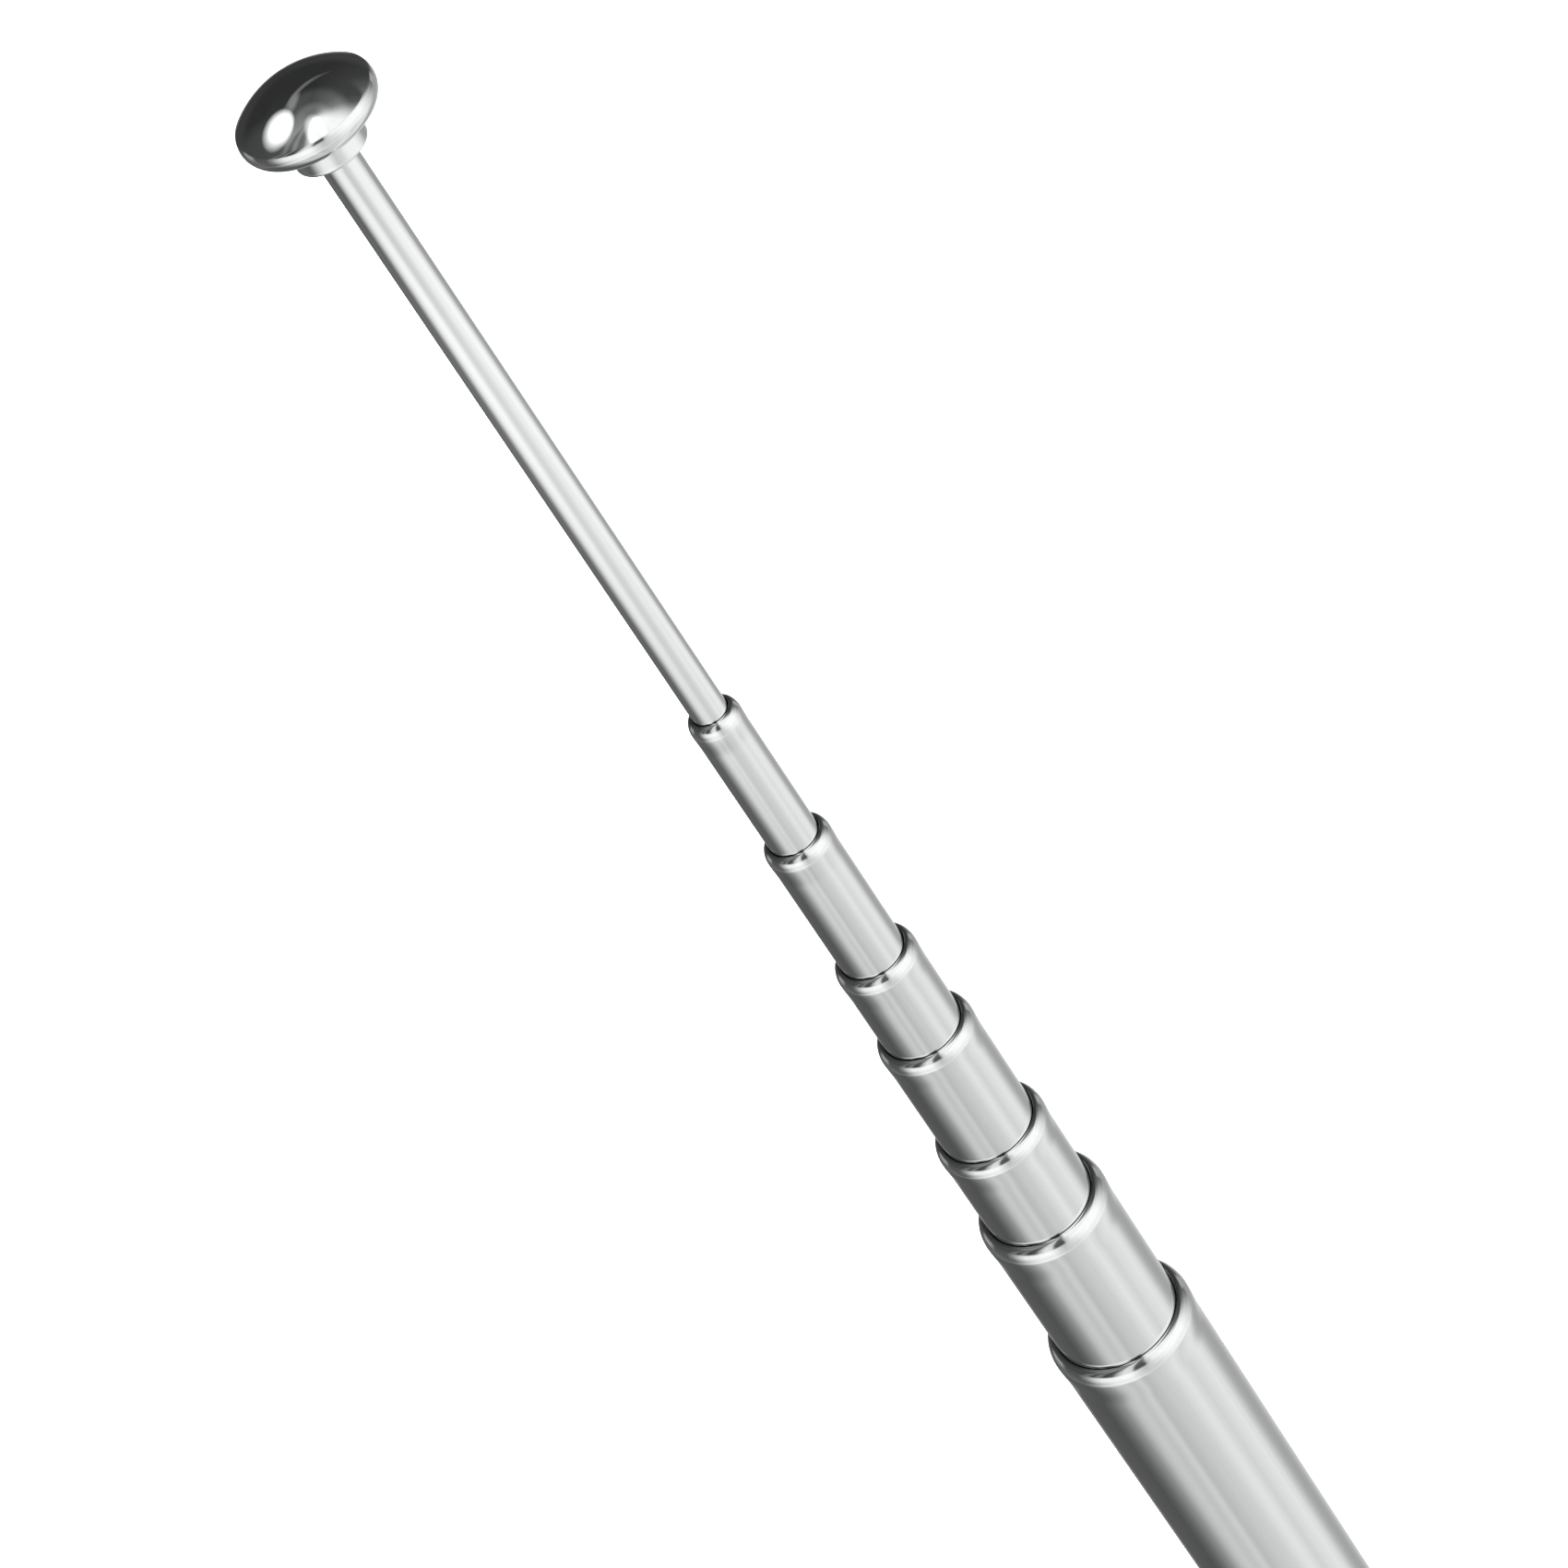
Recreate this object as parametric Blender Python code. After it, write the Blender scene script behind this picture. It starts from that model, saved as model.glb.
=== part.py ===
"""Telescopic antenna: a base tube, six tubes and a tip rod, nested one inside the other.

Each tube's mouth is rolled in until it just clears the section that slides in it. Each sliding
section has a flared collar and a rolled groove at its foot, and two bowed half-round leaves in the
groove press on the bore around them. The antenna stands along +Z, with its origin at the middle of
the plug's flat bottom, and is drawn out as far as the sections are in the usual short pose.
"""

import math
from dataclasses import dataclass

import bmesh
import bpy

MM = 0.001
FACETS = 28

# Widths in millimetres, from the tip outwards
TIP_ROD_DIAMETER = 2.25
WALL = 0.25
SPRING_ROOM = (0.25, 0.25, 0.275, 0.275, 0.275, 0.40, 0.40)
MOUTH_CLEARANCE = 0.05
FOOT_CLEARANCE = 0.06

# Lengths in millimetres, from the base upwards
BASE_TUBE_LENGTH = 140.0
MOUTH_STEP = 3.0
EXPOSED = (13.1, 8.3, 10.1, 7.4, 11.2, 11.3, 44.3)
REST_GAP = 0.3

# Foot of a sliding section
COLLAR_HEIGHT = 0.8
SHOULDER_HEIGHT = 0.25
GROOVE_HEIGHT = 4.4
GROOVE_DEPTH = 0.20
TAPER_HEIGHT = 0.4

# Half-round spring leaves
LEAF_THICKNESS = 0.12
LEAF_CLEARANCE = 0.05
LEAF_END_GAP = 0.10
LEAF_FACETS = FACETS // 2 - 1
LEAF_BOW_STEPS = 4

# Rolled mouth: an oval shoulder, longer than it is deep, over a slight swell of the wall
ROLL_STRETCH = 1.7
SWELL_SHARE = 0.02
SWELL_STRETCH = 3.0
SWELL_STEPS = 3
ROLL_STEPS = 5
ROLL_INNER_STEPS = 3

# Plug pressed into the base tube
PLUG_FLANGE_HEIGHT = 1.5
PLUG_SPIGOT_HEIGHT = 6.5
PLUG_CHAMFER = 0.4
SCREW_HOLE_DIAMETER = 3.3
SCREW_HOLE_DEPTH = 6.0
SCREW_HOLE_CHAMFER = 0.35
SEAT_GAP = 0.05

# Mushroom cap pressed onto the tip rod
CAP_DIAMETER = 8.0
DOME_HEIGHT = 1.5
DOME_STEPS = 6
RIM_ROUND = 0.98
RIM_STEPS = 6
CREASE_RISE = 0.43
NECK_DIAMETER = 4.2
NECK_HEIGHT = 1.73
NECK_CHAMFER = 0.15
SPIGOT_STEP = 0.30
SPIGOT_HEIGHT = 3.0
SPIGOT_CHAMFER = 0.2


@dataclass
class Section:
    """One length of the antenna, numbered from the base.

    The foot is at height 0 of the section's own frame, and all sizes are in millimetres.
    """

    number: int
    radius: float
    length: float
    bore_around: float
    passes: float
    lowest: float
    highest: float
    shown: float

    @property
    def bore(self):
        """Inner radius of the tube."""
        return self.radius - WALL

    @property
    def lip(self):
        """Radius of the mouth's rolled edge."""
        return self.passes + MOUTH_CLEARANCE

    @property
    def swell(self):
        """How far the wall stands out at the bottom of the mouth's shoulder."""
        return SWELL_SHARE * self.radius

    @property
    def roll(self):
        """Depth of the mouth's rounded shoulder, from the swell in to the rolled edge."""
        return self.radius + self.swell - self.lip

    @property
    def shoulder(self):
        """Height of the mouth's rounded shoulder."""
        return ROLL_STRETCH * self.roll

    @property
    def neck(self):
        """Outer radius at the bottom of the spring groove."""
        return self.radius - GROOVE_DEPTH

    @property
    def collar(self):
        """Outer radius of the flared foot."""
        return self.bore_around - FOOT_CLEARANCE


GROOVE_BOTTOM = COLLAR_HEIGHT + SHOULDER_HEIGHT
GROOVE_TOP = GROOVE_BOTTOM + GROOVE_HEIGHT
FOOT_TOP = GROOVE_TOP + TAPER_HEIGHT
LEAF_LENGTH = GROOVE_HEIGHT - 2 * LEAF_END_GAP
LEAF_TOP = GROOVE_TOP - LEAF_END_GAP
PLUG_HEIGHT = PLUG_FLANGE_HEIGHT + PLUG_SPIGOT_HEIGHT
BASE_TUBE_FOOT = PLUG_FLANGE_HEIGHT + SEAT_GAP


def section_radii():
    """Outer radii from the base tube to the tip rod."""
    radii = [TIP_ROD_DIAMETER / 2]
    for room in SPRING_ROOM:
        radii.append(radii[-1] + room + WALL)
    return radii[::-1]


def plan_sections():
    """Works out every section from the one that carries it.

    Collapsed, each foot stands on the neck below it and each mouth stands a step above the last.
    Drawn out, the top of the leaves meets the rolled mouth.
    """
    radii = section_radii()
    base = Section(1, radii[0], BASE_TUBE_LENGTH, radii[0], radii[1], 0, 0, BASE_TUBE_FOOT)
    sections = [base]
    for index, radius in enumerate(radii[1:], start=1):
        carrier = sections[-1]
        is_rod = index == len(radii) - 1
        stands_on = PLUG_HEIGHT - BASE_TUBE_FOOT if index == 1 else FOOT_TOP
        lowest = stands_on + REST_GAP
        step = REST_GAP if is_rod else MOUTH_STEP
        length = carrier.length + step - lowest
        highest = carrier.length - carrier.shoulder - REST_GAP - LEAF_TOP
        passes = 0 if is_rod else radii[index + 1]
        shown = carrier.length + EXPOSED[index - 1] - length
        around = carrier.bore
        sections.append(Section(index + 1, radius, length, around, passes, lowest, highest, shown))
    return sections


def material(name, colour, roughness, metallic=1.0):
    """A Principled material."""
    made = bpy.data.materials.new(name)
    made.use_nodes = True
    shader = made.node_tree.nodes["Principled BSDF"]
    shader.inputs["Base Color"].default_value = (*colour, 1.0)
    shader.inputs["Roughness"].default_value = roughness
    shader.inputs["Metallic"].default_value = metallic
    made.diffuse_color = (*colour, 1.0)
    return made


def arc(centre, radius, start, end, steps, height=None):
    """Points on an arc in the radius and height plane, with angles in degrees.

    Without a height of its own the arc is round.
    """
    height = radius if height is None else height
    points = []
    for step in range(steps + 1):
        angle = math.radians(start + (end - start) * step / steps)
        points.append((centre[0] + radius * math.cos(angle), centre[1] + height * math.sin(angle)))
    return points


def turn(name, outline, finish, closed=False, facets=FACETS, part_of_turn=FACETS):
    """A turned object about its own Z axis.

    An open outline starts and ends on the axis. A closed one goes round the wall of a ring, and
    may be turned through a part of the full circle, with its two ends filled.
    """
    shape = bmesh.new()
    points = [shape.verts.new((radius * MM, 0, height * MM)) for radius, height in outline]
    lines = [shape.edges.new(pair) for pair in zip(points, points[1:])]
    if closed:
        lines.append(shape.edges.new((points[-1], points[0])))
    whole = part_of_turn == facets
    swept = bmesh.ops.spin(
        shape,
        geom=points + lines,
        cent=(0, 0, 0),
        axis=(0, 0, 1),
        angle=math.tau * part_of_turn / facets,
        steps=part_of_turn,
        use_merge=whole,
    )
    if not whole:
        last = [item for item in swept["geom_last"] if isinstance(item, bmesh.types.BMEdge)]
        bmesh.ops.edgeloop_fill(shape, edges=lines)
        bmesh.ops.edgeloop_fill(shape, edges=last)
    bmesh.ops.remove_doubles(shape, verts=shape.verts, dist=1e-8)
    bmesh.ops.recalc_face_normals(shape, faces=shape.faces)
    mesh = bpy.data.meshes.new(name)
    shape.to_mesh(mesh)
    shape.free()
    mesh.shade_smooth()
    mesh.set_sharp_from_angle(angle=math.radians(35))
    mesh.materials.append(finish)
    made = bpy.data.objects.new(name, mesh)
    bpy.context.scene.collection.objects.link(made)
    return made


def foot_outline(section, inset):
    """Collar, groove and taper of a foot, bottom to top, on a surface inset from the outside."""
    return [
        (section.collar - inset, 0),
        (section.collar - inset, COLLAR_HEIGHT),
        (section.neck - inset, GROOVE_BOTTOM),
        (section.neck - inset, GROOVE_TOP),
        (section.radius - inset, FOOT_TOP),
    ]


def mouth_outline(section):
    """The rolled-in mouth, from the outer wall over the swell and the lip and back to the bore."""
    bottom = section.length - section.shoulder
    reach = SWELL_STRETCH * section.roll
    swell = []
    for step in range(SWELL_STEPS):
        share = step / SWELL_STEPS
        stand = section.swell * math.sin(math.pi / 2 * share) ** 2
        swell.append((section.radius + stand, bottom - reach * (1 - share)))
    centre = (section.lip, bottom)
    outside = arc(centre, section.roll, 0, 90, ROLL_STEPS, section.shoulder)
    inside = arc(centre, section.roll - WALL, 90, 0, ROLL_INNER_STEPS, section.shoulder - WALL)
    return swell + outside + inside + [(section.bore, bottom - reach)]


def build_tube(name, section, finish):
    """A drawn tube with a rolled-in mouth, and a foot unless it is the base tube."""
    if section.number == 1:
        outer = [(section.radius, 0)]
        inner = [(section.bore, 0)]
    else:
        outer = foot_outline(section, 0)
        inner = foot_outline(section, WALL)[::-1]
    return turn(name, outer + mouth_outline(section) + inner, finish, closed=True)


def build_rod(name, section, finish):
    """The solid tip rod, with the same foot and a spigot for the cap."""
    spigot = section.radius - SPIGOT_STEP
    top = section.length + SPIGOT_HEIGHT
    outline = [(0, 0)]
    outline += foot_outline(section, 0)
    outline += [
        (section.radius, section.length),
        (spigot, section.length),
        (spigot, top - SPIGOT_CHAMFER),
        (spigot - SPIGOT_CHAMFER, top),
        (0, top),
    ]
    return turn(name, outline, finish)


def build_leaf(name, section, finish, side):
    """One half-round spring leaf in the groove, bowed out along its length to touch the bore."""
    low = section.neck + LEAF_CLEARANCE
    rise = section.bore_around - LEAF_CLEARANCE - LEAF_THICKNESS - low
    bow = []
    for step in range(LEAF_BOW_STEPS + 1):
        share = step / LEAF_BOW_STEPS
        bow.append((low + rise * math.sin(math.pi * share), LEAF_LENGTH * share))
    outline = bow + [(radius + LEAF_THICKNESS, height) for radius, height in bow[::-1]]
    leaf = turn(name, outline, finish, closed=True, part_of_turn=LEAF_FACETS)
    leaf.location.z = (GROOVE_BOTTOM + LEAF_END_GAP) * MM
    leaf.rotation_euler.z = side * math.pi + math.pi / FACETS
    return leaf


def build_plug(name, tube, finish):
    """The flanged plug in the base tube, with a blind screw hole from below."""
    spigot = tube.bore - SEAT_GAP
    hole = SCREW_HOLE_DIAMETER / 2
    outline = [
        (0, SCREW_HOLE_DEPTH),
        (hole, SCREW_HOLE_DEPTH),
        (hole, SCREW_HOLE_CHAMFER),
        (hole + SCREW_HOLE_CHAMFER, 0),
        (tube.radius - PLUG_CHAMFER, 0),
        (tube.radius, PLUG_CHAMFER),
        (tube.radius, PLUG_FLANGE_HEIGHT),
        (spigot, PLUG_FLANGE_HEIGHT),
        (spigot, PLUG_HEIGHT - PLUG_CHAMFER),
        (spigot - PLUG_CHAMFER, PLUG_HEIGHT),
        (0, PLUG_HEIGHT),
    ]
    return turn(name, outline, finish)


def build_cap(name, rod, finish):
    """The mushroom cap: a neck, a rim round as a bead, and a low dome that meets it in a crease."""
    bore = rod.radius - SPIGOT_STEP + SEAT_GAP
    neck = NECK_DIAMETER / 2
    bead_centre = (CAP_DIAMETER / 2 - RIM_ROUND, NECK_HEIGHT + RIM_ROUND)
    bead_end = math.degrees(math.asin(CREASE_RISE / RIM_ROUND))
    bead = arc(bead_centre, RIM_ROUND, -90, bead_end, RIM_STEPS)
    crease, border = bead[-1]
    dome_radius = (crease * crease + DOME_HEIGHT * DOME_HEIGHT) / (2 * DOME_HEIGHT)
    dome_centre = (0, border + DOME_HEIGHT - dome_radius)
    slope = math.degrees(math.asin(crease / dome_radius))
    outline = [
        (0, SPIGOT_HEIGHT + SEAT_GAP),
        (bore, SPIGOT_HEIGHT + SEAT_GAP),
        (bore, 0),
        (neck - NECK_CHAMFER, 0),
        (neck, NECK_CHAMFER),
        (neck, NECK_HEIGHT),
    ]
    outline += bead + arc(dome_centre, dome_radius, 90 - slope, 90, DOME_STEPS)[1:-1]
    outline.append((0, border + DOME_HEIGHT))
    return turn(name, outline, finish)


def carriage(name, parent, height, section):
    """An empty on the antenna's axis that carries a section and holds its travel."""
    empty = bpy.data.objects.new(name, None)
    bpy.context.scene.collection.objects.link(empty)
    empty.parent = parent
    empty.location.z = height * MM
    empty.empty_display_size = section.radius * MM
    empty["travel_mm"] = (section.lowest - section.shown, section.highest - section.shown)
    return empty


def build_antenna():
    """Builds the sections from the base up, each on a carriage that rides in the one before."""
    chrome = material("chrome_plate", (0.80, 0.81, 0.80), 0.10)
    brass = material("plug_brass", (0.72, 0.58, 0.32), 0.30)
    bronze = material("leaf_bronze", (0.66, 0.42, 0.24), 0.35)
    sections = plan_sections()
    base, rod = sections[0], sections[-1]
    build_plug("base_plug", base, brass)
    foot = carriage("section_1_foot", None, base.shown, base)
    build_tube("base_tube", base, chrome).parent = foot
    for section in sections[1:]:
        number = section.number
        foot = carriage(f"section_{number}_foot", foot, section.shown, section)
        for side, letter in enumerate("ab"):
            build_leaf(f"spring_leaf_{number}{letter}", section, bronze, side).parent = foot
        if section is rod:
            build_rod("tip_rod", section, chrome).parent = foot
        else:
            build_tube(f"tube_{number}", section, chrome).parent = foot
    cap = build_cap("tip_cap", rod, chrome)
    cap.parent = foot
    cap.location.z = (rod.length + SEAT_GAP) * MM


for old in list(bpy.data.objects):
    bpy.data.objects.remove(old, do_unlink=True)
build_antenna()
bpy.context.view_layer.update()
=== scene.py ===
"""Looks of a telescopic antenna: smooth chromed tubes, spring leaves, plug, cap and studio."""

import logging
import math
from dataclasses import dataclass, field
from enum import Enum

import bmesh
import bpy
from mathutils import Euler, Matrix, Vector

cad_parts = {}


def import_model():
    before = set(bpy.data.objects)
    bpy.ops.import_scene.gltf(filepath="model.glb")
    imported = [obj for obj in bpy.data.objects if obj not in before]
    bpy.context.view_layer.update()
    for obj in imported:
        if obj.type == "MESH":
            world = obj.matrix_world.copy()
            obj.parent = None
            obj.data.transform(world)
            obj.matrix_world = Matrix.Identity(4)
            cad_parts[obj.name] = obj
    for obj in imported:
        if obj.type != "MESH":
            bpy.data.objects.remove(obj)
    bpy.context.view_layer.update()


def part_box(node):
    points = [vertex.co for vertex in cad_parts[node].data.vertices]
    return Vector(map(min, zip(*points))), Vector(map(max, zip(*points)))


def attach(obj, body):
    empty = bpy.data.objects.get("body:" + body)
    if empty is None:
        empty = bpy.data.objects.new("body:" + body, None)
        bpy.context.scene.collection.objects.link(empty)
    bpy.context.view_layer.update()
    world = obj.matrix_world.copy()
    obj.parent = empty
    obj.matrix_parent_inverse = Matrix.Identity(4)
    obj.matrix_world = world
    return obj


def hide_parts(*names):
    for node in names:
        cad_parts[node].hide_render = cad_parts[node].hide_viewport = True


log = logging.getLogger("antenna")

MM = 0.001
CHROME = (0.865, 0.885, 0.88)
BRASS = (0.72, 0.55, 0.28)
BRONZE = (0.66, 0.40, 0.22)
PALE = (0.95, 0.95, 0.95)
WHITE = (1.0, 1.0, 1.0)
LEAST_AHEAD = 0.001
Outline = list[tuple[float, float]]


class Slot(Enum):
    """Material slots of the record."""

    CHROME = "chrome_plate"
    BRASS = "plug_brass"
    BRONZE = "leaf_bronze"


class Grain(Enum):
    """Which way the fine lines of a finish run."""

    DRAWN = "along the axis"
    TURNED = "around the axis"


class Wire:
    """A node socket that shader maths is written with.

    Args:
        nodes: The builder that owns the socket's tree.
        socket: An output socket of that tree, or None for a node without outputs.
    """

    def __init__(self, nodes: "Nodes", socket: bpy.types.NodeSocket | None) -> None:
        """Keeps the builder and the socket."""
        self.nodes = nodes
        self.socket = socket

    def maths(self, operation: str, *values: "Wire | float", clamp: bool = False) -> "Wire":
        """Adds a Math node with this socket first, its result kept in 0 to 1 where clamp is set."""
        settings = {"operation": operation, "use_clamp": clamp}
        return self.nodes.add("ShaderNodeMath", settings, (self, *values))

    def clamped(self) -> "Wire":
        """The value kept between 0 and 1."""
        return self.maths("MULTIPLY", 1.0, clamp=True)

    def __add__(self, other: "Wire | float") -> "Wire":
        """Sum."""
        return self.maths("ADD", other)

    def __radd__(self, other: float) -> "Wire":
        """Sum with a number on the left."""
        return self.maths("ADD", other)

    def __sub__(self, other: "Wire | float") -> "Wire":
        """Difference."""
        return self.maths("SUBTRACT", other)

    def __rsub__(self, other: float) -> "Wire":
        """Difference with a number on the left."""
        return self.maths("MULTIPLY", -1.0) + other

    def __mul__(self, other: "Wire | float") -> "Wire":
        """Product."""
        return self.maths("MULTIPLY", other)

    def __rmul__(self, other: float) -> "Wire":
        """Product with a number on the left."""
        return self.maths("MULTIPLY", other)

    def __truediv__(self, other: "Wire | float") -> "Wire":
        """Quotient."""
        return self.maths("DIVIDE", other)


class Nodes:
    """Builds one node tree.

    Args:
        tree: The tree, which is cleared first.
    """

    def __init__(self, tree: bpy.types.NodeTree) -> None:
        """Clears the tree and keeps it."""
        self.tree = tree
        tree.nodes.clear()

    def add(
        self,
        kind: str,
        settings: dict[str, object] | None = None,
        inputs: dict[str | int, object] | tuple = (),
        output: str | int = 0,
    ) -> Wire:
        """Adds a node, sets it, then fills and links its sockets.

        Args:
            kind: The node's type.
            settings: Properties of the node; "stops" are a ramp's (position, grey) pairs.
            inputs: Values or wires by socket name or number, or in order.
            output: The socket that is returned.

        Returns:
            The chosen output.
        """
        node = self.tree.nodes.new(kind)
        for name, value in (settings or {}).items():
            if name == "stops":
                self.fill_ramp(node.color_ramp, value)
            else:
                setattr(node, name, value)
        pairs = inputs.items() if isinstance(inputs, dict) else enumerate(inputs)
        for key, value in pairs:
            if isinstance(value, Wire):
                self.tree.links.new(value.socket, node.inputs[key])
            else:
                node.inputs[key].default_value = value
        outputs = node.outputs
        return Wire(self, outputs[output]) if len(outputs) else Wire(self, None)

    def split(self, vector: Wire) -> tuple[Wire, ...]:
        """X, Y and Z of a vector."""
        node = self.add("ShaderNodeSeparateXYZ", inputs=(vector,)).socket.node
        return tuple(Wire(self, socket) for socket in node.outputs)

    @staticmethod
    def fill_ramp(ramp: bpy.types.ColorRamp, stops: tuple[tuple[float, float], ...]) -> None:
        """Gives a ramp its grey stops.

        Args:
            ramp: The ramp.
            stops: Position and grey of each stop, in order.
        """
        while len(ramp.elements) > 1:
            ramp.elements.remove(ramp.elements[-1])
        for index, (position, grey) in enumerate(stops):
            stop = ramp.elements[0] if index == 0 else ramp.elements.new(position)
            stop.position = position
            stop.color = (grey, grey, grey, 1.0)


def oval_reach(wide: Wire, tall: Wire) -> Wire:
    """Distance from an oval's middle, 1 on the oval, from the place over its half width and height."""
    return (wide * wide + tall * tall).maths("SQRT")


def new_material(name: str) -> tuple[bpy.types.Material, Nodes]:
    """Makes a material without nodes.

    Args:
        name: Its name.

    Returns:
        The material and the builder of its nodes.
    """
    made = bpy.data.materials.new(name)
    made.use_nodes = True
    return made, Nodes(made.node_tree)


def new_object(name: str, data: bpy.types.ID) -> bpy.types.Object:
    """Links a new object to the scene, at the origin.

    Args:
        name: Its name.
        data: Its mesh, lamp or camera.

    Returns:
        The object.
    """
    made = bpy.data.objects.new(name, data)
    bpy.context.scene.collection.objects.link(made)
    return made


def flat_square(name: str, half: float, material: bpy.types.Material) -> bpy.types.Object:
    """A flat square about the origin, facing up.

    Args:
        name: Its name.
        half: Half its side, in metres.
        material: Its material.

    Returns:
        The square, linked to the scene.
    """
    shape = bmesh.new()
    bmesh.ops.create_grid(shape, x_segments=1, y_segments=1, size=half)
    mesh = bpy.data.meshes.new(name)
    shape.to_mesh(mesh)
    shape.free()
    mesh.materials.append(material)
    return new_object(name, mesh)


@dataclass(frozen=True)
class MetalFinish:
    """A metal with fine lines along or around its axis.

    Args:
        name: The material's name.
        colour: Linear base colour.
        roughness: Mean roughness.
        grain: Which way the lines run.
        lines: Lines per metre.
        line_length: Length of a line over its width, where it runs along the axis.
        line_depth: Depth of the lines' bump, in metres.
        shade: How far the lines darken the colour, from 0 to 1.
        line_detail: Detail of the lines' noise.
        line_contrast: Strength of the finer layers of the lines' noise.
        haze_scale: Scale of the haze's noise, per metre.
        haze_detail: Detail of the haze's noise.
        haze_least: Share of the roughness where the haze is least.
        haze_swing: What the haze adds to that share at most.
    """

    name: str
    colour: tuple[float, float, float]
    roughness: float
    grain: Grain = Grain.TURNED
    lines: float = 4000.0
    line_length: float = 260.0
    line_depth: float = 5e-7
    shade: float = 0.04
    line_detail: float = 3.0
    line_contrast: float = 0.6
    haze_scale: float = 90.0
    haze_detail: float = 2.0
    haze_least: float = 0.7
    haze_swing: float = 0.6

    def material(self) -> bpy.types.Material:
        """Builds the material.

        Returns:
            A Principled metal on Object coordinates.
        """
        made, nodes = new_material(self.name)
        place = nodes.add("ShaderNodeTexCoord", output="Object")
        x, y, z = nodes.split(place)
        if self.grain is Grain.DRAWN:
            scaled = (x * self.lines, y * self.lines, z * (self.lines / self.line_length))
        else:
            scaled = ((x * x + y * y).maths("SQRT") * self.lines, 0.0, z * self.lines)
        spread = nodes.add("ShaderNodeCombineXYZ", inputs=scaled)
        lines = nodes.add(
            "ShaderNodeTexNoise",
            inputs={
                "Vector": spread,
                "Scale": 1.0,
                "Detail": self.line_detail,
                "Roughness": self.line_contrast,
            },
        )
        haze = nodes.add(
            "ShaderNodeTexNoise",
            inputs={"Vector": place, "Scale": self.haze_scale, "Detail": self.haze_detail},
        )
        mask = (lines - 0.5) * 2.0
        dark = tuple(channel * (1.0 - self.shade) for channel in self.colour)
        tint = nodes.add(
            "ShaderNodeMix",
            {"data_type": "RGBA"},
            {"Factor": mask.maths("ABSOLUTE", clamp=True), 6: (*self.colour, 1.0), 7: (*dark, 1.0)},
            output=2,
        )
        bump = nodes.add(
            "ShaderNodeBump",
            inputs={"Strength": 1.0, "Distance": self.line_depth, "Height": lines},
        )
        surface = nodes.add(
            "ShaderNodeBsdfPrincipled",
            inputs={
                "Base Color": tint,
                "Metallic": 1.0,
                "Roughness": self.roughness * (self.haze_least + haze * self.haze_swing),
                "Normal": bump,
            },
        )
        nodes.add("ShaderNodeOutputMaterial", inputs={"Surface": surface})
        return made


CHROME_DRAWN = MetalFinish(
    "chrome_drawn",
    CHROME,
    roughness=0.06,
    grain=Grain.DRAWN,
    lines=2600.0,
    line_depth=2.5e-6,
    shade=0.06,
)
CHROME_TURNED = MetalFinish("chrome_turned", CHROME, roughness=0.045)
BRASS_TURNED = MetalFinish("brass_turned", BRASS, roughness=0.22, line_depth=2e-6)
BRONZE_STRIP = MetalFinish("bronze_strip", BRONZE, roughness=0.26, line_depth=1.5e-6)


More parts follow.
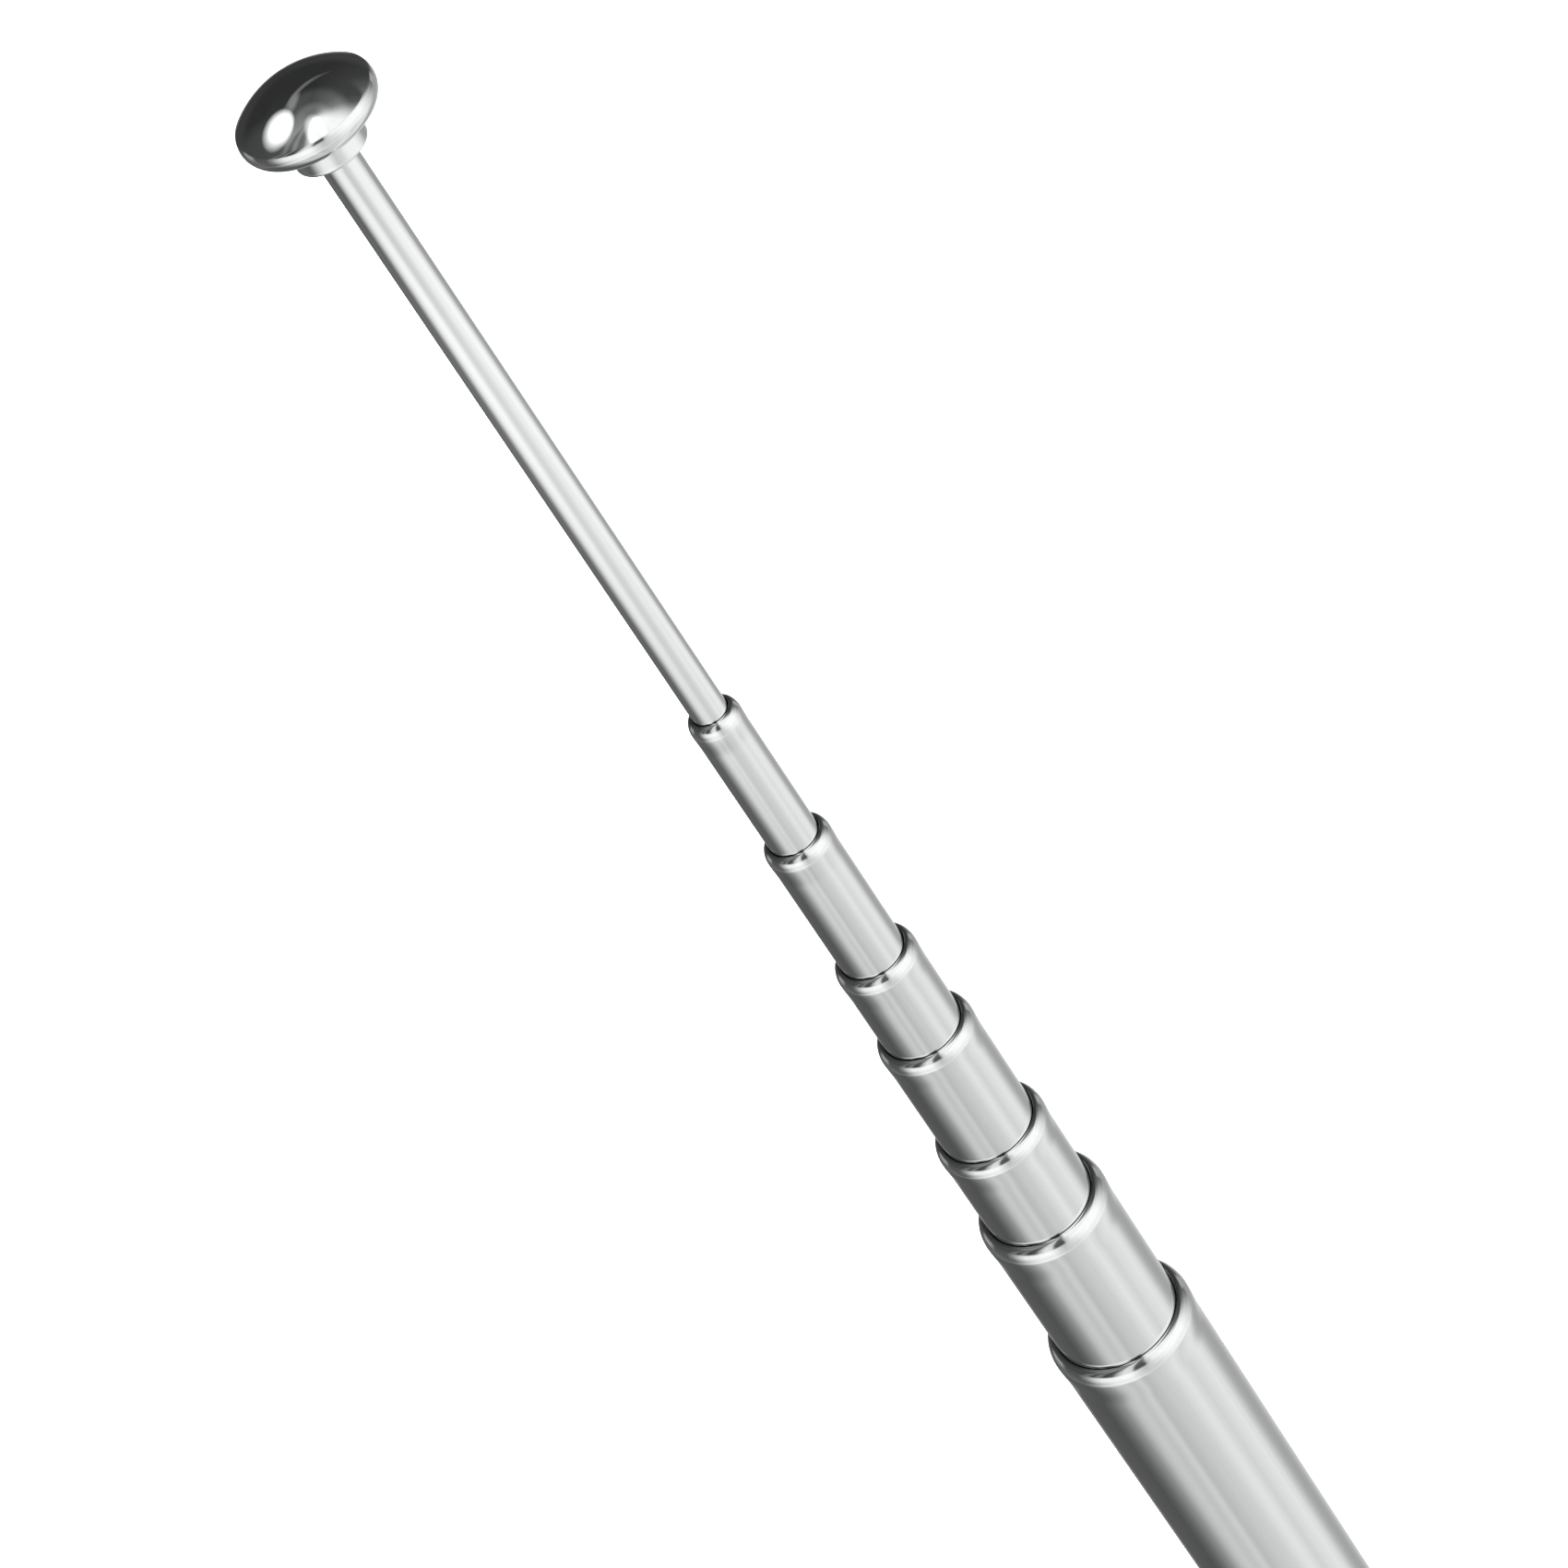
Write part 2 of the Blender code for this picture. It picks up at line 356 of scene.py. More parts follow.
class Lathe:
    """Turns outlines into smooth meshes.

    Args:
        steps: Steps of a full turn.
        sharp: Angle between faces from which an edge is sharp, in degrees.
        merge: Distance within which points become one, in metres.
    """

    def __init__(self, steps: int = 160, sharp: float = 30.0, merge: float = 1e-8) -> None:
        """Keeps the steps, the angle and the distance."""
        self.steps = steps
        self.sharp = sharp
        self.merge = merge

    @staticmethod
    def arc(
        centre: tuple[float, float],
        radius: float,
        start: float,
        end: float,
        steps: int,
        height: float | None = None,
    ) -> Outline:
        """Points on an arc in the radius and height plane.

        Args:
            centre: Radius and height of its centre.
            radius: The arc's reach outwards.
            start: First angle, in degrees.
            end: Last angle, in degrees.
            steps: Number of straight steps.
            height: The arc's reach upwards, where it isn't round.

        Returns:
            The points from start to end.
        """
        height = radius if height is None else height
        points = []
        for step in range(steps + 1):
            angle = math.radians(start + (end - start) * step / steps)
            points.append((centre[0] + radius * math.cos(angle), centre[1] + height * math.sin(angle)))
        return points

    @staticmethod
    def supported(outline: Outline, run: float = 1.5, inset: float = 0.15) -> Outline:
        """Adds a point near each end of long runs, so that smooth shading keeps them straight.

        Args:
            outline: The outline's points.
            run: Length from which a run is long.
            inset: Distance of the added points from its ends.

        Returns:
            The outline with the added points.
        """
        points = outline[:1]
        for first, last in zip(outline, outline[1:]):
            length = math.dist(first, last)
            if length > run:
                for share in (inset / length, 1.0 - inset / length):
                    points.append(tuple(a + (b - a) * share for a, b in zip(first, last)))
            points.append(last)
        return points

    def turn(
        self,
        name: str,
        outline: Outline,
        height: float,
        closed: bool = False,
        share: float = 1.0,
        start: float = 0.0,
    ) -> bpy.types.Object:
        """Turns an outline about the antenna's axis.

        Args:
            name: The piece's name.
            outline: Radius and height of each point, in millimetres.
            height: Height of the outline's zero above the origin, in metres.
            closed: Whether the outline is a ring's section, and not a line from axis to axis.
            share: Share of a full turn.
            start: Angle of the first section, in radians.

        Returns:
            The piece, at the origin and linked to the scene.
        """
        shape = bmesh.new()
        outline = self.supported(outline)
        points = [shape.verts.new((radius * MM, 0.0, z * MM)) for radius, z in outline]
        lines = [shape.edges.new(pair) for pair in zip(points, points[1:])]
        if closed:
            lines.append(shape.edges.new((points[-1], points[0])))
        whole = share == 1.0
        swept = bmesh.ops.spin(
            shape,
            geom=points + lines,
            cent=(0.0, 0.0, 0.0),
            axis=(0.0, 0.0, 1.0),
            angle=math.tau * share,
            steps=round(self.steps * share),
            use_merge=whole,
        )
        if not whole:
            last = [item for item in swept["geom_last"] if isinstance(item, bmesh.types.BMEdge)]
            bmesh.ops.edgeloop_fill(shape, edges=lines)
            bmesh.ops.edgeloop_fill(shape, edges=last)
        bmesh.ops.remove_doubles(shape, verts=shape.verts, dist=self.merge)
        bmesh.ops.recalc_face_normals(shape, faces=shape.faces)
        placed = Matrix.Translation((0, 0, height)) @ Matrix.Rotation(start, 4, "Z")
        bmesh.ops.transform(shape, matrix=placed, verts=shape.verts)
        mesh = bpy.data.meshes.new(name)
        shape.to_mesh(mesh)
        shape.free()
        mesh.shade_smooth()
        mesh.set_sharp_from_angle(angle=math.radians(self.sharp))
        return new_object(name, mesh)


def dress(
    piece: bpy.types.Object,
    node: str,
    body: str,
    material: bpy.types.Material,
) -> None:
    """Gives a piece its finish and puts it on its body in a node's place.

    Args:
        piece: The piece.
        node: The node that it stands for.
        body: The body that it rides on.
        material: Its material.
    """
    piece.data.materials.clear()
    piece.data.materials.append(material)
    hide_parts(node)
    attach(piece, body)
    log.info("%s stands for %s on %s", piece.name, node, body)


@dataclass
class Length:
    """One length of the antenna, with its radii in millimetres.

    Args:
        number: Its number from the base.
        node: Its node.
        body: Its body.
        radius: Outer radius.
        bore_around: Radius of the bore that it slides in.
        passes: Outer radius of the length that slides in it.
    """

    number: int
    node: str
    body: str
    radius: float
    bore_around: float
    passes: float

    @property
    def foot(self) -> float:
        """Height of its foot above the origin, in metres."""
        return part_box(self.node)[0].z

    @property
    def tall(self) -> float:
        """Its own length, in millimetres."""
        low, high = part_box(self.node)
        return (high.z - low.z) / MM


@dataclass
class Lengths:
    """The nested lengths: base tube, six tubes and the tip rod, in millimetres.

    Args:
        rod_diameter: Diameter of the tip rod.
        wall: Wall of each tube.
        spring_room: Room for a leaf beside each length inside, from the rod outwards.
        mouth_clearance: Room between a mouth's lip and the length in it.
        foot_clearance: Room between a foot's collar and the bore around it.
        collar_height: Height of a foot's collar.
        shoulder_height: Height of the slope from the collar to the groove.
        groove_height: Height of the groove.
        groove_depth: Depth of the groove under the outside.
        taper_height: Height of the slope from the groove to the outside.
        foot_round: Size of the small bevels on feet and spigot.
        roll_steps: Steps of a mouth's outer roll.
        roll_stretch: Height of the roll over its depth.
        swell_share: Rise of the swell under a mouth, as a share of the tube's radius.
        swell_stretch: Height of the swell over the roll's depth.
        swell_steps: Steps of the swell.
        spigot_step: Step from the rod's outside to its spigot.
        spigot_height: Height of the spigot.
        lathe: The lathe that turns them.
    """

    rod_diameter: float = 2.25
    wall: float = 0.25
    spring_room: tuple[float, ...] = (0.25, 0.25, 0.275, 0.275, 0.275, 0.40, 0.40)
    mouth_clearance: float = 0.05
    foot_clearance: float = 0.06
    collar_height: float = 0.8
    shoulder_height: float = 0.25
    groove_height: float = 4.4
    groove_depth: float = 0.20
    taper_height: float = 0.4
    foot_round: float = 0.06
    roll_steps: int = 18
    roll_stretch: float = 1.7
    swell_share: float = 0.02
    swell_stretch: float = 3.0
    swell_steps: int = 12
    spigot_step: float = 0.30
    spigot_height: float = 3.0
    lathe: Lathe = field(default_factory=Lathe)

    def plan(self) -> list[Length]:
        """Works out the lengths from the base to the tip.

        Returns:
            The base tube first and the tip rod last.
        """
        radii = [self.rod_diameter / 2]
        for room in self.spring_room:
            radii.append(radii[-1] + room + self.wall)
        radii.reverse()
        last = len(radii)
        planned = []
        for number, radius in enumerate(radii, start=1):
            node = {1: "base_tube", last: "tip_rod"}.get(number, f"tube_{number}")
            body = "base" if number == 1 else f"section_{number}"
            around = radii[number - 2] - self.wall if number > 1 else radius
            passes = radii[number] if number < last else 0.0
            planned.append(Length(number, node, body, radius, around, passes))
        return planned

    def foot_outline(self, length: Length, inset: float) -> Outline:
        """Collar, groove and taper of a foot, bottom to top.

        Args:
            length: The length.
            inset: Depth of the surface under the outside.

        Returns:
            The outline's points.
        """
        collar = length.bore_around - self.foot_clearance - inset
        neck = length.radius - self.groove_depth - inset
        bottom = self.collar_height + self.shoulder_height
        top = bottom + self.groove_height
        soft = self.foot_round
        return [
            (collar - soft, 0.0),
            (collar, soft),
            (collar, self.collar_height - soft),
            (collar - soft, self.collar_height),
            (neck, bottom),
            (neck, top),
            (length.radius - inset, top + self.taper_height),
        ]

    def mouth_outline(self, length: Length) -> Outline:
        """The rolled-in mouth, from the outer wall over the swell and the lip to the bore.

        Args:
            length: The tube.

        Returns:
            The outline's points.
        """
        lip = length.passes + self.mouth_clearance
        stands = self.swell_share * length.radius
        roll = length.radius + stands - lip
        shoulder = self.roll_stretch * roll
        bottom = length.tall - shoulder
        reach = self.swell_stretch * roll
        swell = []
        for step in range(self.swell_steps):
            share = step / self.swell_steps
            stand = stands * math.sin(math.pi / 2 * share) ** 2
            swell.append((length.radius + stand, bottom - reach * (1 - share)))
        outside = self.lathe.arc((lip, bottom), roll, 0, 90, self.roll_steps, shoulder)
        inner, inner_height = roll - self.wall, shoulder - self.wall
        inside = self.lathe.arc((lip, bottom), inner, 90, 0, self.roll_steps // 2, inner_height)
        return swell + outside + inside + [(length.radius - self.wall, bottom - reach)]

    def build_tube(self, length: Length) -> bpy.types.Object:
        """A tube with a rolled-in mouth, and a foot unless it is the base tube.

        Args:
            length: The tube.

        Returns:
            The piece.
        """
        if length.number == 1:
            outer = [(length.radius, 0.0)]
            inner = [(length.radius - self.wall, 0.0)]
        else:
            outer = self.foot_outline(length, 0.0)
            inner = self.foot_outline(length, self.wall)[::-1]
        outline = outer + self.mouth_outline(length) + inner
        return self.lathe.turn(f"{length.node}_drawn", outline, length.foot, closed=True)

    def build_rod(self, length: Length) -> bpy.types.Object:
        """The solid tip rod with its foot and spigot.

        Args:
            length: The rod.

        Returns:
            The piece.
        """
        top = length.tall
        shoulder = top - self.spigot_height
        spigot = length.radius - self.spigot_step
        soft = self.foot_round
        outline = [(0.0, 0.0)] + self.foot_outline(length, 0.0)
        outline += [
            (length.radius, shoulder - soft),
            (length.radius - soft, shoulder),
            (spigot, shoulder),
            (spigot, top - soft),
            (spigot - soft, top),
            (0.0, top),
        ]
        return self.lathe.turn(f"{length.node}_drawn", outline, length.foot)

    def build(self, chrome: bpy.types.Material) -> None:
        """Builds and dresses every length.

        Args:
            chrome: The plated finish.
        """
        planned = self.plan()
        for length in planned:
            piece = self.build_rod(length) if length is planned[-1] else self.build_tube(length)
            dress(piece, length.node, length.body, chrome)


@dataclass
class SpringLeaves:
    """The bowed half-round leaves in the grooves, two on each sliding length, in millimetres.

    Args:
        lengths: The lengths that carry them.
        thickness: Thickness of the strip.
        clearance: Room to the groove's bottom and to the bore.
        facets: Facets of the solids' full turn, of which a leaf takes one less than half.
        bow_steps: Steps of the bow.
        lathe: The lathe that turns them.
    """

    lengths: Lengths
    thickness: float = 0.12
    clearance: float = 0.05
    facets: int = 28
    bow_steps: int = 16
    lathe: Lathe = field(default_factory=Lathe)

    def outline(self, length: Length, tall: float) -> Outline:
        """Section of a leaf, bowed out to the bore at its middle.

        Args:
            length: The length that carries it.
            tall: The leaf's height.

        Returns:
            The outline's points.
        """
        low = length.radius - self.lengths.groove_depth + self.clearance
        rise = length.bore_around - self.clearance - self.thickness - low
        bow = []
        for step in range(self.bow_steps + 1):
            share = step / self.bow_steps
            bow.append((low + rise * math.sin(math.pi * share), tall * share))
        return bow + [(radius + self.thickness, height) for radius, height in bow[::-1]]

    def build(self, bronze: bpy.types.Material) -> None:
        """Builds and dresses every leaf.

        Args:
            bronze: The strip's finish.
        """
        share = (self.facets // 2 - 1) / self.facets
        for length in self.lengths.plan()[1:]:
            for side, letter in enumerate("ab"):
                node = f"spring_leaf_{length.number}{letter}"
                low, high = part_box(node)
                outline = self.outline(length, (high.z - low.z) / MM)
                start = math.pi * (side + 1 / self.facets)
                piece = self.lathe.turn(
                    f"{node}_pressed", outline, low.z, closed=True, share=share, start=start
                )
                dress(piece, node, f"leaves_{length.number}", bronze)


@dataclass
class Plug:
    """The plug in the base tube's foot with its blind screw hole, in millimetres.

    Args:
        radius: Radius of the flange.
        spigot: Radius of the part inside the tube.
        flange_height: Height of the flange.
        height: Height of the whole plug.
        chamfer: Size of the chamfers at both ends.
        hole: Radius of the screw hole.
        hole_depth: Depth of the screw hole.
        hole_chamfer: Size of the chamfer on the hole.
        edge_round: Rounding of the flange's upper edge.
        edge_steps: Steps of that rounding.
        lathe: The lathe that turns it.
    """

    radius: float = 5.0
    spigot: float = 4.70
    flange_height: float = 1.5
    height: float = 8.0
    chamfer: float = 0.4
    hole: float = 1.65
    hole_depth: float = 6.0
    hole_chamfer: float = 0.35
    edge_round: float = 0.05
    edge_steps: int = 4
    lathe: Lathe = field(default_factory=Lathe)

    def outline(self) -> Outline:
        """The plug's section from the hole's end to the top.

        Returns:
            The outline's points.
        """
        soft = self.edge_round
        flange = (self.radius - soft, self.flange_height - soft)
        return [
            (0.0, self.hole_depth),
            (self.hole, self.hole_depth),
            (self.hole, self.hole_chamfer),
            (self.hole + self.hole_chamfer, 0.0),
            (self.radius - self.chamfer, 0.0),
            (self.radius, self.chamfer),
            *self.lathe.arc(flange, soft, 0, 90, self.edge_steps),
            (self.spigot, self.flange_height),
            (self.spigot, self.height - self.chamfer),
            (self.spigot - self.chamfer, self.height),
            (0.0, self.height),
        ]

    def build(self, brass: bpy.types.Material) -> None:
        """Builds and dresses the plug.

        Args:
            brass: The turned finish.
        """
        low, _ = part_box("base_plug")
        piece = self.lathe.turn("base_plug_turned", self.outline(), low.z)
        dress(piece, "base_plug", "base", brass)


@dataclass
class TipCap:
    """The mushroom cap on the tip rod, in millimetres.

    Args:
        diameter: Diameter of the rim.
        dome_height: Height of the dome over the crease.
        rim_round: Radius of the rounded rim.
        crease_rise: Height of the crease above the rim's middle.
        neck_diameter: Diameter of the neck.
        neck_height: Height of the neck.
        neck_round: Rounding of the neck's lower edge.
        bore: Radius of the bore for the spigot.
        bore_depth: Depth of the bore.
        rim_steps: Steps of the rim.
        dome_steps: Steps of the dome.
        neck_steps: Steps of the neck's rounding.
        lathe: The lathe that turns it.
    """

    diameter: float = 8.0
    dome_height: float = 1.5
    rim_round: float = 0.98
    crease_rise: float = 0.43
    neck_diameter: float = 4.2
    neck_height: float = 1.73
    neck_round: float = 0.15
    bore: float = 0.875
    bore_depth: float = 3.05
    rim_steps: int = 30
    dome_steps: int = 40
    neck_steps: int = 6
    lathe: Lathe = field(default_factory=lambda: Lathe(steps=192))

    def outline(self) -> Outline:
        """The cap's section from the bore's end to the dome's top.

        Returns:
            The outline's points.
        """
        arc = self.lathe.arc
        neck = self.neck_diameter / 2
        bead_centre = (self.diameter / 2 - self.rim_round, self.neck_height + self.rim_round)
        bead_end = math.degrees(math.asin(self.crease_rise / self.rim_round))
        bead = arc(bead_centre, self.rim_round, -90, bead_end, self.rim_steps)
        crease, border = bead[-1]
        dome_radius = (crease * crease + self.dome_height * self.dome_height) / (2 * self.dome_height)
        dome_centre = (0.0, border + self.dome_height - dome_radius)
        slope = math.degrees(math.asin(crease / dome_radius))
        points = [(0.0, self.bore_depth), (self.bore, self.bore_depth), (self.bore, 0.0)]
        soft = self.neck_round
        points += arc((neck - soft, soft), soft, -90, 0, self.neck_steps)
        points.append((neck, self.neck_height))
        points += bead + arc(dome_centre, dome_radius, 90 - slope, 90, self.dome_steps)[1:-1]
        points.append((0.0, border + self.dome_height))
        return points

    def build(self, chrome: bpy.types.Material) -> None:
        """Builds and dresses the cap.

        Args:
            chrome: The plated finish.
        """
        low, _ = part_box("tip_cap")
        piece = self.lathe.turn("tip_cap_turned", self.outline(), low.z)
        dress(piece, "tip_cap", "section_8", chrome)


@dataclass(frozen=True)
class Ring:
    """The surround at one height, light and dark in turn, as the chrome mirrors it.

    Args:
        name: What stands there.
        starts: Elevation where it begins to take over from the ring below, in degrees.
        holds: Elevation from where it is alone.
        levels: Azimuth in degrees, from the camera's side to the right, and brightness there.
    """

    name: str
    starts: float
    holds: float
    levels: tuple[tuple[float, float], ...]

    def stops(self) -> tuple[tuple[float, float], ...]:
        """The levels as a ramp's stops."""
        return tuple(((azimuth + 180.0) / 360.0, brightness) for azimuth, brightness in self.levels)


def facing(azimuth: float, elevation: float, lean: float = 0.0) -> Matrix:
    """Frame of a card in the surround.

    Args:
        azimuth: Direction of its middle, in degrees, from the camera's side to the right.
        elevation: Height of its middle above the horizon, in degrees.
        lean: Turn in its own plane, in degrees, raising its right side.

    Returns:
        A turn whose X runs to the right, Y up the card and Z to its middle.
    """
    aimed = Euler((math.radians(90.0 - elevation), 0.0, math.radians(azimuth))).to_matrix()
    return aimed @ Matrix.Rotation(math.radians(lean), 3, "Z")


@dataclass(frozen=True)
class Panel:
    """A flat oval card far away.

    Args:
        name: What it is.
        azimuth: Direction of its middle, in degrees, from the camera's side to the right.
        elevation: Height of its middle above the horizon, in degrees.
        width: Half its width, in degrees.
        height: Half its height, in degrees.
        lean: Turn in its own plane, in degrees.
        softness: Share of its half width over which it fades.
        brightness: Its brightness.
    """

    name: str
    azimuth: float
    elevation: float
    width: float
    height: float
    lean: float
    softness: float
    brightness: float

    def frame(self) -> tuple[Vector, Vector, Vector]:
        """Directions of its width, its height and its middle."""
        return facing(self.azimuth, self.elevation, self.lean).transposed()[:]


# Light and dark around the antenna, from below upwards
RINGS = (
    Ring(
        "table",
        starts=-90.0,
        holds=-90.0,
        levels=(
            (-180, 0.34), (-166, 0.28), (-148, 0.11), (-104, 0.09), (-92, 0.13), (-80, 0.22),
            (-70, 0.33), (-56, 0.59), (-48, 0.66), (-36, 0.60), (-25, 0.70), (-15, 0.56),
            (0, 0.65), (14, 0.70), (36, 0.88), (54, 0.74), (64, 0.80), (82, 0.88), (92, 0.81),
            (106, 0.54), (116, 0.43), (128, 0.40), (140, 0.45), (158, 0.63), (170, 0.70),
            (180, 0.58),
        ),
    ),
    Ring(
        "table edge",
        starts=-44.5,
        holds=-31.0,
        levels=(
            (-180, 0.35), (-150, 0.15), (-116, 0.19), (-96, 0.20), (-81, 0.50), (-67, 0.95),
            (-41, 1.20), (-28, 1.18), (-17, 1.00), (0, 0.78), (17, 0.86), (41, 1.00),
            (64, 1.15), (82, 1.02), (97, 0.72), (116, 0.42), (140, 0.40), (160, 0.60),
            (180, 0.55),
        ),
    ),
    Ring(
        "floor",
        starts=-34.8,
        holds=-30.5,
        levels=(
            (-180, 0.30), (-150, 0.12), (-116, 0.14), (-96, 0.11), (-85, 0.16), (-75, 0.40),
            (-65, 0.66), (-55, 0.84), (-45, 0.96), (-25, 0.96), (-15, 0.78), (-5, 0.64),
            (5, 0.70), (15, 0.76), (25, 0.92), (36, 1.00), (66, 1.02), (75, 0.96), (85, 0.84),
            (95, 0.70), (105, 0.47), (116, 0.36), (136, 0.38), (160, 0.45), (180, 0.40),
        ),
    ),
    Ring(
        "horizon",
        starts=-24.0,
        holds=-8.0,
        levels=(
            (-180, 0.04), (-152, 0.05), (-139, 0.08), (-133, 0.34), (-121, 0.34), (-114, 0.09),
            (-94, 0.10), (-85, 0.26), (-75, 0.62), (-65, 0.95), (-45, 1.07), (-35, 1.12),
            (-25, 1.09), (-15, 0.80), (-5, 0.58), (5, 0.73), (15, 0.89), (25, 1.03), (36, 1.12),
            (66, 1.12), (76, 0.97), (86, 0.77), (96, 0.52), (106, 0.27), (114, 0.16),
            (119, 0.42), (128, 0.42), (134, 0.10), (150, 0.06), (180, 0.04),
        ),
    ),
    Ring(
        "walls",
        starts=2.0,
        holds=18.0,
        levels=(
            (-180, 0.03), (-150, 0.03), (-136, 0.06), (-92, 0.07), (-84, 0.20), (-77, 0.05),
            (-69, 0.24), (-61, 0.05), (-50, 0.10), (-43, 0.50), (-34, 0.86), (-24, 0.80),
            (-18, 0.10), (-3, 0.08), (1, 0.60), (10, 0.98), (26, 1.12), (64, 1.12), (76, 0.94),
            (86, 0.70), (96, 0.40), (106, 0.18), (116, 0.10), (130, 0.05), (156, 0.03),
            (180, 0.03),
        ),
    ),
    Ring(
        "upper walls",
        starts=36.0,
        holds=43.0,
        levels=(
            (-180, 0.03), (-140, 0.04), (-116, 0.07), (-92, 0.08), (-84, 0.20), (-77, 0.06),
            (-69, 0.24), (-61, 0.06), (-51, 0.10), (-43, 0.45), (-34, 0.80), (-24, 0.72),
            (-17, 0.14), (-5, 0.10), (2, 0.70), (12, 1.00), (56, 1.00), (68, 0.74), (76, 0.52),
            (86, 0.24), (94, 0.10), (106, 0.06), (130, 0.05), (156, 0.03), (180, 0.03),
        ),
    ),
    Ring(
        "ceiling",
        starts=52.0,
        holds=63.0,
        levels=(
            (-180, 0.08), (-150, 0.10), (-120, 0.18), (-100, 0.28), (-86, 0.32), (-78, 0.14),
            (-69, 0.30), (-61, 0.14), (-51, 0.18), (-44, 0.50), (-36, 0.80), (-25, 0.72),
            (-17, 0.16), (-5, 0.12), (3, 0.90), (14, 1.00), (34, 1.10), (56, 1.06), (66, 0.92),
            (76, 0.70), (86, 0.40), (96, 0.22), (116, 0.13), (156, 0.07), (180, 0.08),
        ),
    ),
    Ring(
        "upper ceiling",
        starts=70.0,
        holds=78.0,
        levels=(
            (-180, 0.17), (-150, 0.20), (-96, 0.27), (-86, 0.30), (-77, 0.23), (-69, 0.33),
            (-61, 0.24), (-50, 0.30), (-38, 0.60), (-25, 0.66), (-17, 0.24), (-5, 0.24),
            (3, 0.95), (12, 1.10), (54, 1.12), (66, 0.97), (76, 0.76), (86, 0.54), (106, 0.28),
            (136, 0.17), (180, 0.17),
        ),
    ),
    Ring(
        "zenith",
        starts=82.0,
        holds=90.0,
        levels=(
            (-180, 0.18), (-90, 0.24), (-40, 0.40), (0, 0.62), (60, 0.62), (90, 0.40),
            (140, 0.20), (180, 0.18),
        ),
    ),
)

PANELS = (
    Panel(
        "lamp arm",
        azimuth=176.0,
        elevation=51.0,
        width=20.0,
        height=2.0,
        lean=36.0,
        softness=0.9,
        brightness=0.16,
    ),
    Panel(
        "lamp joint",
        azimuth=-170.0,
        elevation=60.0,
        width=9.0,
        height=3.8,
        lean=44.0,
        softness=0.9,
        brightness=0.25,
    ),
)


@dataclass(frozen=True)
class SoftBox:
    """An oval soft box close to the cap, seen only in the pieces that mirror it.

    Args:
        name: What it is.
        azimuth: Direction to it, in degrees, from the camera's side to the right.
        elevation: Its height over the horizon, in degrees.
        distance: Distance from the point that it faces, in metres.
        width: Half its width, in metres.
        tall: Half its height, in metres.
        softness: Share of its half width over which it fades, halfway up.
        sharper: How much less it fades at its top, and more at its bottom.
        brightness: Its brightness.
        margin: Size of its mesh over the oval's longer half.
    """

    name: str
    azimuth: float
    elevation: float
    distance: float
    width: float
    tall: float
    softness: float
    sharper: float
    brightness: float
    margin: float = 1.1

    def material(self) -> bpy.types.Material:
        """A light that fades to nothing at its border.

        Returns:
            Emission in an oval mask, added to what lies behind.
        """
        made, nodes = new_material(f"{self.name}_light")
        x, y, _ = nodes.split(nodes.add("ShaderNodeTexCoord", output="Object"))
        wide = x * (1.0 / self.width)
        high = y * (1.0 / self.tall)
        fade = self.softness - high * self.sharper
        mask = ((1.0 - oval_reach(wide, high)) / fade).clamped()
        lit = nodes.add("ShaderNodeEmission", inputs={"Strength": self.brightness})
        faded = nodes.add("ShaderNodeMixShader", inputs={0: mask, 2: lit})
        clear = nodes.add("ShaderNodeBsdfTransparent")
        both = nodes.add("ShaderNodeAddShader", inputs=(faded, clear))
        nodes.add("ShaderNodeOutputMaterial", inputs={"Surface": both})
        return made

    def build(self, height: float, mirrors: bpy.types.Collection) -> None:
        """Builds the box, which only its mirrors show.

        Args:
            height: Height above the origin of the point that it faces, in metres.
            mirrors: The pieces that it lights.
        """
        box = flat_square(self.name, self.margin * max(self.width, self.tall), self.material())
        aimed = facing(self.azimuth, self.elevation)
        place = Vector((0.0, 0.0, height)) + aimed @ Vector((0.0, 0.0, self.distance))
        box.matrix_world = Matrix.Translation(place) @ aimed.to_4x4()
        box.visible_camera = False
        box.visible_diffuse = False
        box.visible_shadow = False
        box.light_linking.receiver_collection = mirrors


SOFT_BOXES = (
    SoftBox(
        "soft_box_left",
        azimuth=-121.0,
        elevation=56.0,
        distance=0.08,
        width=0.0275,
        tall=0.0270,
        softness=0.62,
        sharper=0.40,
        brightness=1.8,
    ),
    SoftBox(
        "soft_box_front",
        azimuth=-11.0,
        elevation=70.0,
        distance=0.05,
        width=0.0100,
        tall=0.0210,
        softness=0.6,
        sharper=0.0,
        brightness=0.95,
    ),
)


